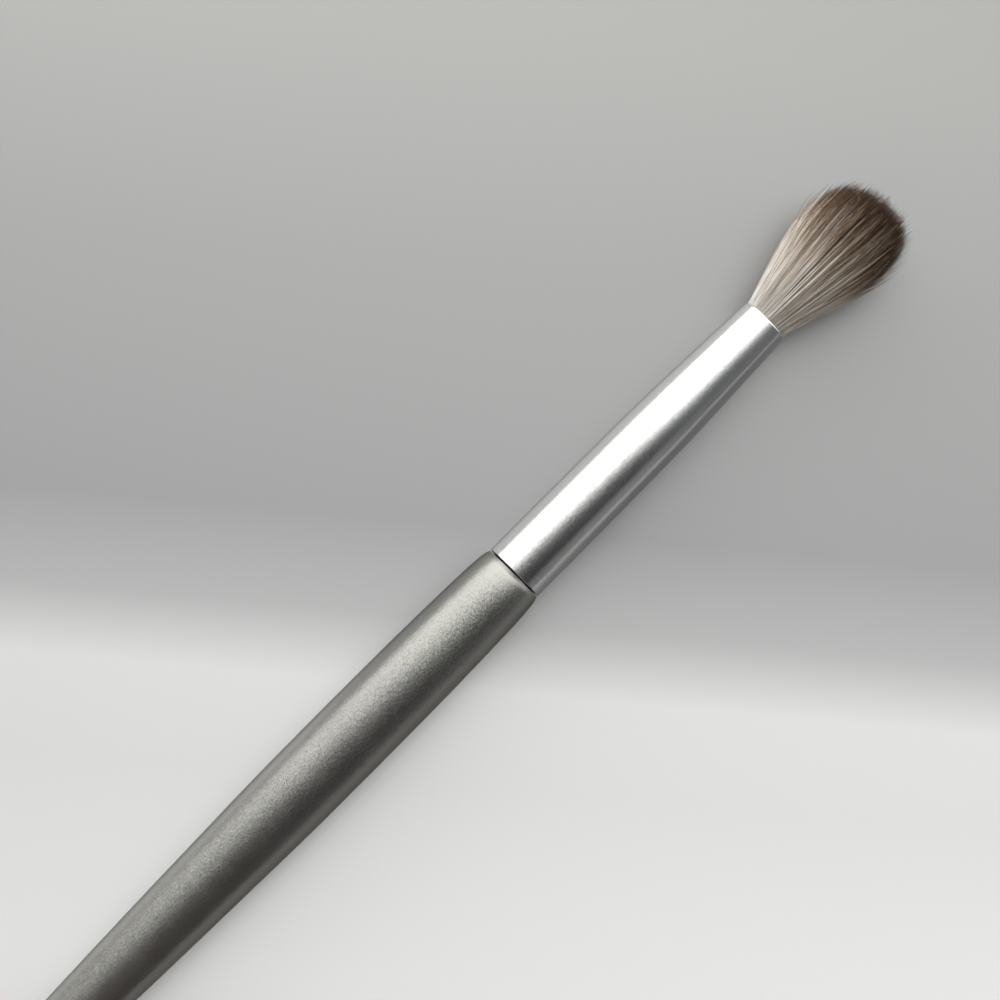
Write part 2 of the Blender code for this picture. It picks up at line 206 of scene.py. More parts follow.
# The fibres, one by one
FIBRE_COUNT = 9600
FIBRE_STATIONS = 10
FIBRE_SIDES = 3
FIBRE_RADIUS = 0.000034
FIBRE_TIP_RADIUS = 0.000007
FIBRE_TAPER_START = 0.55
ROOT_UNEVENNESS = 0.45
GOLDEN_ANGLE = math.pi * (3.0 - math.sqrt(5.0))
SEED = 11

# How the fibres gather into wisps and tufts
WISP_COUNT = 1350
TUFT_COUNT = 200
CENTRE_UNEVENNESS = 0.8
BORDER_MIXING = 0.15
WISP_PULL = 0.66
WISP_PULL_SPREAD = 0.30
WISP_GATHERED = 0.30
WISP_LOOSENING = 0.55
LOOSENING_START = 0.72
TUFT_PULL = 0.06
TUFT_GATHERED = 0.45

# How the fibres drift, bow and weave sideways, in shares of the bundle's radius
WISP_DRIFT = 0.026
FIBRE_DRIFT = 0.014
DRIFT_POWER = 1.3
WISP_BOW = 0.012
FIBRE_BOW = 0.006
FIBRE_WEAVE = 0.009
WEAVE_TURNS = 1.2
TIP_DRIFT = 0.030
TIP_DRIFT_POWER = 4

# How single fibres stand out of the bundle: strays, splay, stout guard fibres and loose ones
STRAY_SHARE = 0.16
STRAY_REACH = 0.22
STRAY_POWER = 1.3
SPLAY = 0.052
SPLAY_POWER = 1.6
GUARD_SHARE = 0.06
GUARD_LEAST = 0.012
GUARD_REACH = 0.045
GUARD_POWER = 0.8
GUARD_STOUTNESS = 1.12
GUARD_DIMNESS = 0.60
LOOSE_SHARE = 0.08
LOOSE_REACH = 0.11
DRAW_IN = 0.022

# The fibres' lengths, and the lean of the whole head
LENGTH_MEAN = -0.00005
LENGTH_SPREAD = 0.00040
WISP_LENGTH_SPREAD = 0.00030
CROWN_SLOPE = 0.00050
HEAD_LEAN = 0.00020
HEAD_LEAN_POWER = 2

# The fibres' tones, in classes from the darkest to the palest
TONE_CLASSES = 64
TONE_INSET = 0.2
WISP_TONE_SHARE = 0.42
SURFACE_SHARE = 0.86
# Painted shade: fibres inside the bundle take only the darker tones, for the shade deep among the fibres
INNER_SHADE_TONE = 0.55
SURFACE_TONE = 0.06
# Painted light: the pale part of the fibres reaches higher on the left, lit side, and the brown starts
# lower on the right
LIT_SIDE_BAND_LEAN = 0.045


def brush_matrix():
    """Place of the brush's own axes in the frame: zero at the tail's end, +Z along the axis to the hair."""
    tail = frame["record"]["mounts"][0]
    along = -Vector(tail["axis"]).normalized()
    aside = Vector((0.0, 1.0, 0.0))
    down = aside.cross(along).normalized()
    turn = Matrix((down, aside, along)).transposed().to_4x4()
    return Matrix.Translation(Vector(tail["pos_m"])) @ turn


BRUSH = brush_matrix()
ALONG = BRUSH.to_3x3() @ Vector((0.0, 0.0, 1.0))
LEFT = BRUSH.to_3x3() @ Vector((0.0, 1.0, 0.0))
OVER = BRUSH.to_3x3() @ Vector((-1.0, 0.0, 0.0))


def places_of(node_name):
    """Corners of a CAD node in the brush's own axes."""
    inverse = BRUSH.inverted()
    return np.array([inverse @ vertex.co for vertex in frame["nodes"][node_name].data.vertices])


def span_of(node_name):
    """Lowest and highest place of a CAD node along the brush's axis."""
    heights = places_of(node_name)[:, 2]
    return float(heights.min()), float(heights.max())


def mouth_bore():
    """Inner radius of the ferrule's mouth."""
    places = places_of("ferrule")
    radius = np.hypot(places[:, 0], places[:, 1])
    return float(radius.min())


FERRULE_BASE, FERRULE_MOUTH = span_of("ferrule")
JOINT = BRUSH @ Vector((0.0, 0.0, FERRULE_BASE))
HAIR_TOP = span_of("hair_core")[1]
HEAD_RADIUS = float(np.hypot(*places_of("hair_outer")[:, :2].T).max())
ROOT_RADIUS = mouth_bore() - BED_CLEARANCE - FIBRE_RADIUS
WIDEST = HAIR_TOP - DOME_HEIGHT
BED_TOP = FERRULE_MOUTH - BED_DEPTH
LONGEST_FIBRE = HAIR_TOP - BED_TOP + BED_THICKNESS / 2.0


def column_outline(node_name):
    """Outline of a turned CAD node, read down one of its sides as (radius, height) points."""
    shape = bmesh.new()
    shape.from_mesh(frame["nodes"][node_name].data)
    shape.transform(BRUSH.inverted())
    bmesh.ops.remove_doubles(shape, verts=shape.verts, dist=JOIN_DISTANCE)
    reach = {vertex: math.hypot(vertex.co.x, vertex.co.y) for vertex in shape.verts}
    widest = max(shape.verts, key=reach.get)
    side = math.atan2(widest.co.y, widest.co.x)

    def on_side(vertex):
        if reach[vertex] < ON_AXIS:
            return True
        return abs(math.atan2(vertex.co.y, vertex.co.x) - side) < SIDE_WIDTH

    linked = {}
    for edge in shape.edges:
        start, end = edge.verts
        if on_side(start) and on_side(end):
            linked.setdefault(start, []).append(end)
            linked.setdefault(end, []).append(start)
    ends = [vertex for vertex, others in linked.items() if len(others) == 1]
    closed = not ends
    here = max(ends or linked, key=lambda vertex: vertex.co.z)
    chain, before = [here], None
    while True:
        onward = [other for other in linked[here] if other is not before and other is not chain[0]]
        if not onward:
            break
        before, here = here, max(onward, key=reach.get) if len(chain) == 1 else onward[0]
        chain.append(here)
    outline = []
    for vertex in chain:
        radius = 0.0 if reach[vertex] < ON_AXIS else reach[vertex]
        outline.append((radius, vertex.co.z))
    shape.free()
    if not closed:
        if outline[0][0] > 0.0:
            outline.insert(0, (0.0, outline[0][1]))
        if outline[-1][0] > 0.0:
            outline.append((0.0, outline[-1][1]))
    return outline, closed


def finer_outline(outline, closed):
    """An outline with more points: curved through its gentle bends, straight beside its real edges."""
    corners = [Vector(corner) for corner in outline]
    ahead = [(after - corner).normalized() for corner, after in zip(corners, corners[1:] + corners[:1])]

    def tangent(index, own):
        if not closed and index in (0, len(corners) - 1):
            return own
        before, after = ahead[index - 1], ahead[index]
        return own if before.angle(after) > GENTLE_BEND else (before + after).normalized()

    finer = []
    for index in range(len(corners) if closed else len(corners) - 1):
        following = (index + 1) % len(corners)
        start, end = corners[index], corners[following]
        length = (end - start).length
        pieces = math.ceil(length / OUTLINE_STEP)
        shares = {step / pieces for step in range(pieces)}
        if length > SHORTEST_WITH_MARGINS:
            shares |= {EDGE_MARGIN / length, 1.0 - EDGE_MARGIN / length}
        leave = tangent(index, ahead[index]) * length
        arrive = tangent(following, ahead[index]) * length
        for share in sorted(shares):
            square, cube = share ** 2, share ** 3
            point = start * (2.0 * cube - 3.0 * square + 1.0) + leave * (cube - 2.0 * square + share)
            point += end * (3.0 * square - 2.0 * cube) + arrive * (cube - square)
            finer.append((max(point.x, 0.0), point.y))
    return finer if closed else finer + [outline[-1]]


def turned_rings(shape, outline, steps):
    """Rings of corners round the brush's axis, one for each point of an outline."""
    turns = [math.tau * step / steps for step in range(steps)]
    rings = []
    for radius, height in outline:
        if radius < JOIN_DISTANCE:
            rings.append([shape.verts.new((0.0, 0.0, height))] * steps)
            continue
        places = [(radius * math.cos(turn), radius * math.sin(turn), height) for turn in turns]
        rings.append([shape.verts.new(place) for place in places])
    return rings


def turned_mesh(name, outline, closed, steps=ROUND_STEPS):
    """Turn an outline round the brush's axis, charted round the piece across and along the outline up."""
    shape = bmesh.new()
    chart = shape.loops.layers.uv.new("OFBake")
    onward = outline[1:] + outline[:1] if closed else outline[1:]
    run = [0.0]
    for start, end in zip(outline, onward):
        run.append(run[-1] + math.dist(start, end))
    rings = turned_rings(shape, outline, steps)
    for index in range(len(run) - 1):
        low, high = rings[index], rings[(index + 1) % len(rings)]
        for step in range(steps):
            after = (step + 1) % steps
            corners = [(low[step], step, index), (low[after], step + 1, index)]
            corners += [(high[after], step + 1, index + 1), (high[step], step, index + 1)]
            if low[step] is low[after]:
                corners[:2] = [(low[step], step + 0.5, index)]
            if high[step] is high[after]:
                corners[-2:] = [(high[step], step + 0.5, index + 1)]
            face = shape.faces.new([corner for corner, across, up in corners])
            for loop, (corner, across, up) in zip(face.loops, corners):
                loop[chart].uv = (across / steps, run[up] / run[-1])
    bmesh.ops.recalc_face_normals(shape, faces=shape.faces)
    mesh = bpy.data.meshes.new(name)
    shape.to_mesh(mesh)
    shape.free()
    mesh.shade_smooth()
    mesh.set_sharp_from_angle(angle=SMOOTH_ANGLE)
    return mesh


def envelope(height):
    """Radius of the whole bundle of fibres at a height, from the ferrule's mouth to the head."""
    part = np.clip((height - BED_TOP) / (WIDEST - BED_TOP), 0.0, 1.0)
    return ROOT_RADIUS + (HEAD_RADIUS - ROOT_RADIUS) * (1.0 - (1.0 - part) ** FLARE_POWER)


def smooth_step(low, high, value):
    """Rise smoothly from zero to one between two values."""
    part = np.clip((value - low) / (high - low), 0.0, 1.0)
    return part * part * (3.0 - 2.0 * part)


def even_disc(count, rng, unevenness):
    """Points spread evenly over a disc of radius one."""
    index = np.arange(count) + 0.5
    distance = np.sqrt(index / count)
    angle = index * GOLDEN_ANGLE
    points = np.stack([distance * np.cos(angle), distance * np.sin(angle)], 1)
    points += rng.normal(0.0, unevenness / math.sqrt(count), points.shape)
    length = np.hypot(points[:, 0], points[:, 1])
    return points / np.maximum(length, 1.0)[:, None]


def nearest_centre(points, centres, rng):
    """Index of the centre that each point gathers to, a little mixed at the borders."""
    apart = np.hypot(*(points[:, None, :] - centres[None, :, :]).transpose(2, 0, 1))
    return (apart + rng.normal(0.0, BORDER_MIXING / math.sqrt(len(centres)), apart.shape)).argmin(1)


def sideways(rng, wisp, wisp_spread, fibre_spread):
    """A sideways move for each fibre: one that its wisp shares, and one of its own."""
    shared = rng.normal(0.0, wisp_spread, (WISP_COUNT, 2))[wisp]
    return shared + rng.normal(0.0, fibre_spread, (FIBRE_COUNT, 2))


def moved(places, move, growth):
    """Move each fibre's places sideways by its own move, which grows along its length."""
    return places + move[:, None, :] * growth[None, :, None]


def fibre_places(rng, roots, along):
    """Where each fibre runs across the bundle, in shares of its radius, and the wisp that it belongs to."""
    wisps = even_disc(WISP_COUNT, rng, CENTRE_UNEVENNESS)
    tufts = even_disc(TUFT_COUNT, rng, CENTRE_UNEVENNESS)
    wisp = nearest_centre(roots, wisps, rng)
    tuft = nearest_centre(wisps, tufts, rng)[wisp]
    pull = WISP_PULL + WISP_PULL_SPREAD * (rng.random(FIBRE_COUNT) - 0.5)
    loosening = WISP_LOOSENING * smooth_step(LOOSENING_START, 1.0, along)
    wisp_growth = smooth_step(0.0, WISP_GATHERED, along) - loosening
    tuft_growth = smooth_step(0.0, TUFT_GATHERED, along)
    places = moved(roots[:, None, :], (wisps[wisp] - roots) * pull[:, None], wisp_growth)
    places = moved(places, (tufts[tuft] - wisps[wisp]) * TUFT_PULL, tuft_growth)
    places = moved(places, sideways(rng, wisp, WISP_DRIFT, FIBRE_DRIFT), along ** DRIFT_POWER)
    places = moved(places, sideways(rng, wisp, WISP_BOW, FIBRE_BOW), np.sin(math.pi * along))
    weave = rng.normal(0.0, FIBRE_WEAVE, (FIBRE_COUNT, 2))
    turn = rng.random(FIBRE_COUNT)
    wave = np.sin(math.tau * (along[None, :] * WEAVE_TURNS + turn[:, None])) * tuft_growth[None, :]
    places = places + weave[:, None, :] * wave[:, :, None]
    places = moved(places, rng.normal(0.0, TIP_DRIFT, (FIBRE_COUNT, 2)), along ** TIP_DRIFT_POWER)
    distance = np.hypot(places[..., 0], places[..., 1])
    return places / np.maximum(distance, 1.0)[..., None], wisp


def fibre_tops(rng, tips, wisp):
    """Heights of the fibres' tips: a dome, a little uneven, and lower towards the left."""
    share = np.minimum(np.hypot(tips[:, 0], tips[:, 1]), 1.0)
    rise = (1.0 - share ** DOME_POWER) ** (1.0 / DOME_POWER)
    top = WIDEST + DOME_HEIGHT * rise + rng.normal(LENGTH_MEAN, LENGTH_SPREAD, FIBRE_COUNT)
    wisp_length = rng.normal(0.0, WISP_LENGTH_SPREAD, WISP_COUNT)[wisp]
    return top - CROWN_SLOPE * tips[:, 1] + wisp_length


def standing_out(rng, root_share, along):
    """How far each fibre stands out of the bundle along its length, and which ones are guard fibres."""
    surface = root_share > SURFACE_SHARE
    stray = rng.random(FIBRE_COUNT) < STRAY_SHARE
    stray_out = np.where(stray, rng.random(FIBRE_COUNT) * STRAY_REACH, 0.0)
    splay_out = np.abs(rng.normal(0.0, SPLAY, FIBRE_COUNT))
    guard = (rng.random(FIBRE_COUNT) < GUARD_SHARE) & surface
    guard_out = np.where(guard, GUARD_LEAST + rng.random(FIBRE_COUNT) * GUARD_REACH, 0.0)
    loose_rng = np.random.default_rng(SEED + 1)
    loose = (loose_rng.random(FIBRE_COUNT) < LOOSE_SHARE) & surface
    loose_out = np.where(loose, loose_rng.random(FIBRE_COUNT) * LOOSE_REACH, 0.0)
    outward = np.outer(stray_out, along ** STRAY_POWER) + np.outer(splay_out, along ** SPLAY_POWER)
    outward = outward + np.outer(guard_out, along ** GUARD_POWER)
    return outward + np.outer(loose_out, np.sin(math.pi * along)), guard


def fibre_tones(rng, wisp, root_share, guard):
    """Tone of each fibre, from zero for the darkest to one for the palest."""
    with_wisp = rng.random(FIBRE_COUNT) < WISP_TONE_SHARE
    chance = np.where(with_wisp, rng.random(WISP_COUNT)[wisp], rng.random(FIBRE_COUNT))
    # Painted shade: inner fibres take only the darker tones
    inside = root_share < SURFACE_SHARE
    tone = np.where(inside, INNER_SHADE_TONE * chance, SURFACE_TONE + (1.0 - SURFACE_TONE) * chance)
    tone = np.where(guard, 1.0 - (1.0 - tone) * GUARD_DIMNESS, tone)
    return np.minimum(tone, 1.0 - 0.5 / TONE_CLASSES)


def make_fibres(rng):
    """Paths of all fibres, and each one's share of the way out from the axis, tone and stoutness."""
    roots = even_disc(FIBRE_COUNT, rng, ROOT_UNEVENNESS)
    root_share = np.hypot(roots[:, 0], roots[:, 1])
    along = np.linspace(0.0, 1.0, FIBRE_STATIONS)
    places, wisp = fibre_places(rng, roots, along)
    top = fibre_tops(rng, places[:, -1], wisp)
    start = BED_TOP - BED_THICKNESS / 2.0
    heights = start + np.outer(top - start, along)
    outward, guard = standing_out(rng, root_share, along)
    radius = envelope(heights) * (1.0 + outward - DRAW_IN * along[None, :])
    lean = HEAD_LEAN * (along ** HEAD_LEAN_POWER)[None, :]
    paths = np.stack([places[..., 0] * radius, places[..., 1] * radius - lean, heights], -1)
    tones = fibre_tones(rng, wisp, root_share, guard)
    return paths, root_share, tones, np.where(guard, GUARD_STOUTNESS, 1.0)


def lift_off_ground(paths):
    """Keep every fibre above the surface that the brush lies on."""
    turn = np.array(BRUSH.to_3x3())
    origin = np.array(BRUSH.translation)
    world = paths @ turn.T + origin
    world[..., 2] = np.maximum(world[..., 2], FIBRE_RADIUS * GUARD_STOUTNESS)
    return (world - origin) @ turn


def fibre_corners(paths, stoutness):
    """Corners of every fibre's rings, which get smaller towards its tip."""
    ahead = np.gradient(paths, axis=1)
    ahead /= np.linalg.norm(ahead, axis=-1, keepdims=True)
    side = np.cross(ahead, [1.0, 0.0, 0.0])
    side /= np.linalg.norm(side, axis=-1, keepdims=True)
    other = np.cross(ahead, side)
    thin = smooth_step(FIBRE_TAPER_START, 1.0, np.linspace(0.0, 1.0, FIBRE_STATIONS))
    radius = FIBRE_RADIUS + (FIBRE_TIP_RADIUS - FIBRE_RADIUS) * thin
    turns = np.arange(FIBRE_SIDES) * math.tau / FIBRE_SIDES
    across = side[:, :, None, :] * np.cos(turns)[None, None, :, None]
    across = across + other[:, :, None, :] * np.sin(turns)[None, None, :, None]
    return paths[:, :, None, :] + across * (stoutness[:, None] * radius)[:, :, None, None]


def fibre_faces(count):
    """Four-cornered faces of a number of fibres, round each one and up it."""
    ring = np.arange(FIBRE_SIDES)
    after = (ring + 1) % FIBRE_SIDES
    one = []
    for station in range(FIBRE_STATIONS - 1):
        low, high = station * FIBRE_SIDES, (station + 1) * FIBRE_SIDES
        one.append(np.stack([low + ring, low + after, high + after, high + ring], 1))
    starts = np.arange(count) * FIBRE_STATIONS * FIBRE_SIDES
    return (starts[:, None, None] + np.concatenate(one)[None]).reshape(-1, 4)


def fibre_chart(paths, tones):
    """Chart of every fibre's faces: its tone across, and up to its tip at the top."""
    spread = np.array([TONE_INSET, 1.0 - TONE_INSET, 1.0 - TONE_INSET, TONE_INSET])
    column = np.floor(tones * TONE_CLASSES)
    across = (column[:, None, None] + spread[None, None, :]) / TONE_CLASSES
    station = np.repeat(np.arange(FIBRE_STATIONS - 1), FIBRE_SIDES)
    from_tip = 1.0 - np.stack([station, station, station + 1, station + 1], 1) / (FIBRE_STATIONS - 1)
    length = paths[:, -1, 2] - paths[:, 0, 2]
    up = 1.0 - from_tip[None] * (length / LONGEST_FIBRE)[:, None, None]
    # Painted light: the band from pale to brown lies higher on the left, lit side, and lower on the right,
    # shaded side
    up = up - (paths[:, -1, 1] / HEAD_RADIUS * LIT_SIDE_BAND_LEAN)[:, None, None]
    up = np.clip(up, 0.0, 1.0)
    return np.stack([np.broadcast_to(across, up.shape), up], -1).astype(np.float32)


def fibre_mesh(paths, tones, stoutness):
    """Mesh of many tapered fibres along their paths."""
    faces = fibre_faces(len(paths))
    corners_each = faces.shape[1]
    mesh = bpy.data.meshes.new("strands")
    mesh.vertices.add(len(paths) * FIBRE_STATIONS * FIBRE_SIDES)
    mesh.vertices.foreach_set("co", fibre_corners(paths, stoutness).ravel())
    mesh.loops.add(faces.size)
    mesh.loops.foreach_set("vertex_index", faces.ravel())
    mesh.polygons.add(len(faces))
    mesh.polygons.foreach_set("loop_start", np.arange(len(faces)) * corners_each)
    mesh.polygons.foreach_set("loop_total", np.full(len(faces), corners_each))
    mesh.update(calc_edges=True)
    layer = mesh.uv_layers.new(name="OFBake")
    layer.uv.foreach_set("vector", fibre_chart(paths, tones).ravel())
    mesh.shade_smooth()
    return mesh


def bed_mesh(index):
    """Slice of the root bed that carries one bundle, charted where the chart holds the fibres' roots."""
    half_gap = SLICE_GAP / 2.0
    outer = ROOT_RADIUS * BUNDLE_SHARES[index + 1] - half_gap
    inner = ROOT_RADIUS * BUNDLE_SHARES[index] + half_gap
    low = BED_TOP - BED_THICKNESS
    if index == 0:
        outline = [(0.0, BED_TOP), (outer, BED_TOP), (outer, low), (0.0, low)]
    else:
        outline = [(outer, BED_TOP), (outer, low), (inner, low), (inner, BED_TOP)]
    mesh = turned_mesh("root_bed", outline, index > 0, SLICE_STEPS)
    for corner in mesh.uv_layers["OFBake"].uv:
        corner.vector.y *= BED_CHART_SHARE
    return mesh


def node(tree, kind, inputs=(), **settings):
    """Add a node, set its options, and give its inputs plain values or links."""
    made = tree.nodes.new(kind)
    for key, value in settings.items():
        setattr(made, key, value)
    for key, value in dict(inputs).items():
        if isinstance(value, bpy.types.NodeSocket):
            tree.links.new(value, made.inputs[key])
        else:
            made.inputs[key].default_value = value
    return made


def reckoned(tree, operation, *values):
    """Reckon with numbers, by one operation of the Math node."""
    return node(tree, "ShaderNodeMath", dict(enumerate(values)), operation=operation).outputs[0]


def vector_reckoned(tree, operation, *vectors):
    """Reckon with vectors or colours, by one operation of the Vector Math node."""
    return node(tree, "ShaderNodeVectorMath", dict(enumerate(vectors)), operation=operation).outputs[0]


def scaled(tree, vector, factor):
    """Scale a vector or colour."""
    return node(tree, "ShaderNodeVectorMath", {0: vector, "Scale": factor}, operation="SCALE").outputs[0]


def carried_over(tree, value, results, limits=(0.0, 1.0), **settings):
    """Carry a value over from one range to another."""
    inputs = {"Value": value, "From Min": limits[0], "From Max": limits[1]}
    inputs.update({"To Min": results[0], "To Max": results[1]})
    return node(tree, "ShaderNodeMapRange", inputs, **settings).outputs[0]


def blended(tree, share, first, second):
    """Mix two colours by a share."""
    return node(tree, "ShaderNodeMix", {0: share, 6: first, 7: second}, data_type="RGBA").outputs[2]


def ramp_of(tree, share, stops):
    """Colour ramp of grey or coloured stops."""
    ramp = node(tree, "ShaderNodeValToRGB", {0: share})
    while len(ramp.color_ramp.elements) < len(stops):
        ramp.color_ramp.elements.new(1.0)
    for element, (place, colour) in zip(ramp.color_ramp.elements, stops):
        element.position = place
        element.color = (*colour, 1.0)
    return ramp.outputs[0]


def reach_along(tree, place, direction):
    """How far a place or a direction lies along another direction."""
    inputs = {0: place, 1: tuple(direction)}
    return node(tree, "ShaderNodeVectorMath", inputs, operation="DOT_PRODUCT").outputs["Value"]


def towards(tree, place, direction, limits):
    """Ease from zero at the first limit of a place's reach along a direction to one at the second."""
    reach = reach_along(tree, place, direction)
    return carried_over(tree, reach, (0.0, 1.0), limits, interpolation_type="SMOOTHSTEP")


def object_place(tree):
    """A place on the piece, in its own axes."""
    return node(tree, "ShaderNodeTexCoord").outputs["Object"]


def clouds(tree, place, per_metre, detail=CLOUD_DETAIL):
    """Soft cloudy variation over a piece."""
    inputs = {"Vector": place, "Scale": per_metre, "Detail": detail}
    return node(tree, "ShaderNodeTexNoise", inputs).outputs[0]


def new_material(name):
    """An empty node material and its Principled shader."""
    finish = bpy.data.materials.new(name)
    finish.use_nodes = True
    return finish, finish.node_tree, finish.node_tree.nodes["Principled BSDF"]


def fine_grain_group():
    """Fine speckle of metal flake or blasting: a tilted normal and a value for each speck."""
    group = bpy.data.node_groups.new("fine_grain", "ShaderNodeTree")
    sockets = group.interface
    sockets.new_socket(name="Place", in_out="INPUT", socket_type="NodeSocketVector")
    sockets.new_socket(name="Specks per metre", in_out="INPUT", socket_type="NodeSocketFloat")
    sockets.new_socket(name="Tilt", in_out="INPUT", socket_type="NodeSocketFloat")
    sockets.new_socket(name="Normal", in_out="OUTPUT", socket_type="NodeSocketVector")
    sockets.new_socket(name="Speck", in_out="OUTPUT", socket_type="NodeSocketFloat")
    start = group.nodes.new("NodeGroupInput").outputs
    end = group.nodes.new("NodeGroupOutput").inputs
    inputs = {"Vector": start["Place"], "Scale": start["Specks per metre"]}
    speck = node(group, "ShaderNodeTexVoronoi", inputs).outputs["Color"]
    centred = vector_reckoned(group, "SUBTRACT", speck, (0.5, 0.5, 0.5))
    tilted = scaled(group, centred, start["Tilt"])
    surface = node(group, "ShaderNodeNewGeometry").outputs["Normal"]
    normal = vector_reckoned(group, "NORMALIZE", vector_reckoned(group, "ADD", surface, tilted))
    split = node(group, "ShaderNodeSeparateColor", {0: speck})
    group.links.new(normal, end["Normal"])
    group.links.new(split.outputs[0], end["Speck"])
    return group


def grained(tree, grain, place, per_metre, tilt):
    """Outputs of the fine grain, placed in a material with its own values."""
    inputs = {"Place": place, "Specks per metre": per_metre, "Tilt": tilt}
    return node(tree, "ShaderNodeGroup", inputs, node_tree=grain).outputs


def paint_material(grain):
    """Satin silver paint with fine flake, and bare wood painted near-black as gap shade before the
    ferrule's end.
    """
    finish, tree, shader = new_material("flaked_paint")
    place = object_place(tree)
    flakes = grained(tree, grain, place, PAINT_FLAKES, PAINT_FLAKE_TILT)
    colour = blended(tree, flakes["Speck"], PAINT_DARK, PAINT_PALE)
    rough = carried_over(tree, clouds(tree, place, PAINT_CLOUDS), PAINT_ROUGHNESS)
    # Painted shade: the strip of bare wood before the ferrule's end gets a near-black colour for the shade
    # in the joint's gap
    paint_end = ALONG.dot(BRUSH @ Vector((0.0, 0.0, FERRULE_BASE - JOINT_LINE_WIDTH)))
    bare = towards(tree, place, ALONG, (paint_end - JOINT_LINE_SOFTNESS, paint_end))
    colour = blended(tree, bare, colour, BARE_WOOD_GAP_SHADE)
    rough = node(tree, "ShaderNodeMix", {0: bare, 2: rough, 3: BARE_WOOD_ROUGHNESS}).outputs[0]
    tree.links.new(colour, shader.inputs["Base Color"])
    tree.links.new(rough, shader.inputs["Roughness"])
    tree.links.new(carried_over(tree, bare, (1.0, 0.0)), shader.inputs["Metallic"])
    tree.links.new(flakes["Normal"], shader.inputs["Normal"])
    shader.inputs["Specular Tint"].default_value = PAINT_RIM_TINT
    return finish


def aluminium_material(grain):
    """Satin anodised aluminium."""
    finish, tree, shader = new_material("anodised_metal")
    place = object_place(tree)
    grains = grained(tree, grain, place, METAL_GRAINS, METAL_GRAIN_TILT)
    cloud = clouds(tree, place, METAL_CLOUDS, METAL_CLOUD_DETAIL)
    tree.links.new(blended(tree, cloud, METAL_DARK, METAL_PALE), shader.inputs["Base Color"])
    tree.links.new(carried_over(tree, cloud, METAL_ROUGHNESS), shader.inputs["Roughness"])
    tree.links.new(grains["Normal"], shader.inputs["Normal"])
    shader.inputs["Metallic"].default_value = 1.0
    shader.inputs["Specular Tint"].default_value = METAL_RIM_TINT
    return finish


def fibre_material():
    """Two-tone synthetic fibre, pale from the root and dark brown at the tip.

    The chart's columns run from the darkest fibres to the palest, and its rows from root to tip.
    The palest fibres turn brown later, the darkest ones earlier as painted shade in the gaps between
    wisps, and each class by its own chance.
    """
    finish, tree, shader = new_material("banded_fibre")
    chart = node(tree, "ShaderNodeUVMap", uv_map="OFBake").outputs[0]
    column, row = node(tree, "ShaderNodeSeparateXYZ", {0: chart}).outputs[:2]
    late = carried_over(tree, column, (0.0, LATE_SHIFT), LATE_COLUMNS)
    # Painted shade: the darkest classes turn brown lower down, as dark lines in the gaps between wisps
    early_shade = carried_over(tree, column, (EARLY_SHADE_SHIFT, 0.0), EARLY_SHADE_COLUMNS)
    number = reckoned(tree, "FLOOR", reckoned(tree, "MULTIPLY", column, float(TONE_CLASSES)))
    chance = node(tree, "ShaderNodeTexWhiteNoise", {"W": number}, noise_dimensions="1D").outputs["Value"]
    shifted = reckoned(tree, "SUBTRACT", row, late)
    shifted = reckoned(tree, "ADD", shifted, carried_over(tree, chance, UNEVEN_SHIFT))
    shifted = reckoned(tree, "ADD", shifted, early_shade)
    colour = ramp_of(tree, shifted, FIBRE_STOPS)
    paleness = blended(tree, column, DARKEST_FIBRE, PALEST_FIBRE)
    tree.links.new(vector_reckoned(tree, "MULTIPLY", colour, paleness), shader.inputs["Base Color"])
    shader.inputs["Roughness"].default_value = FIBRE_ROUGHNESS
    shader.inputs["Specular IOR Level"].default_value = FIBRE_SPECULAR
    return finish


def cloudy_material(name, darker, paler, roughness, per_metre):
    """A plain finish whose colour clouds between two tones."""
    finish, tree, shader = new_material(name)
    cloud = clouds(tree, object_place(tree), per_metre)
    tree.links.new(blended(tree, cloud, darker, paler), shader.inputs["Base Color"])
    shader.inputs["Roughness"].default_value = roughness
    return finish


def floor_material():
    """Rough metallic board like the photograph's background, pale by the tail and mid grey by the head.

    Its normal leans to the head, so that it mirrors the bright side and the shadow on it stays faint.
    """
    finish, tree, shader = new_material("two_tone_board")
    right, up = camera_axes()[:2]
    reach = reach_along(tree, object_place(tree), up + right * FLOOR_SLANT)
    colour = ramp_of(tree, carried_over(tree, reach, (0.0, 1.0), FLOOR_LIMITS), FLOOR_STOPS)
    flat = node(tree, "ShaderNodeNewGeometry").outputs["Normal"]
    leaning = vector_reckoned(tree, "ADD", flat, tuple(ALONG * FLOOR_LEAN))
    tree.links.new(colour, shader.inputs["Base Color"])
    tree.links.new(vector_reckoned(tree, "NORMALIZE", leaning), shader.inputs["Normal"])
    shader.inputs["Metallic"].default_value = FLOOR_METALLIC
    shader.inputs["Roughness"].default_value = FLOOR_ROUGHNESS
    shader.inputs["Specular Tint"].default_value = FLOOR_RIM_TINT
    shader.inputs["Specular IOR Level"].default_value = FLOOR_SPECULAR
    return finish


def add_piece(name, mesh, material, node_name):
    """Put a mesh made in the brush's own axes in its place, for a CAD node, with its finish."""
    mesh.transform(BRUSH)
    mesh.materials.append(material)
    piece = bpy.data.objects.new(name, mesh)
    bpy.context.scene.collection.objects.link(piece)
    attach(piece, "root")
    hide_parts(node_name)


def dress_turned(node_name, piece_name, material):
    """Draw a turned CAD node finer, with its own finish, in its place."""
    outline, closed = column_outline(node_name)
    mesh = turned_mesh(piece_name, finer_outline(outline, closed), closed)
    add_piece(piece_name, mesh, material, node_name)


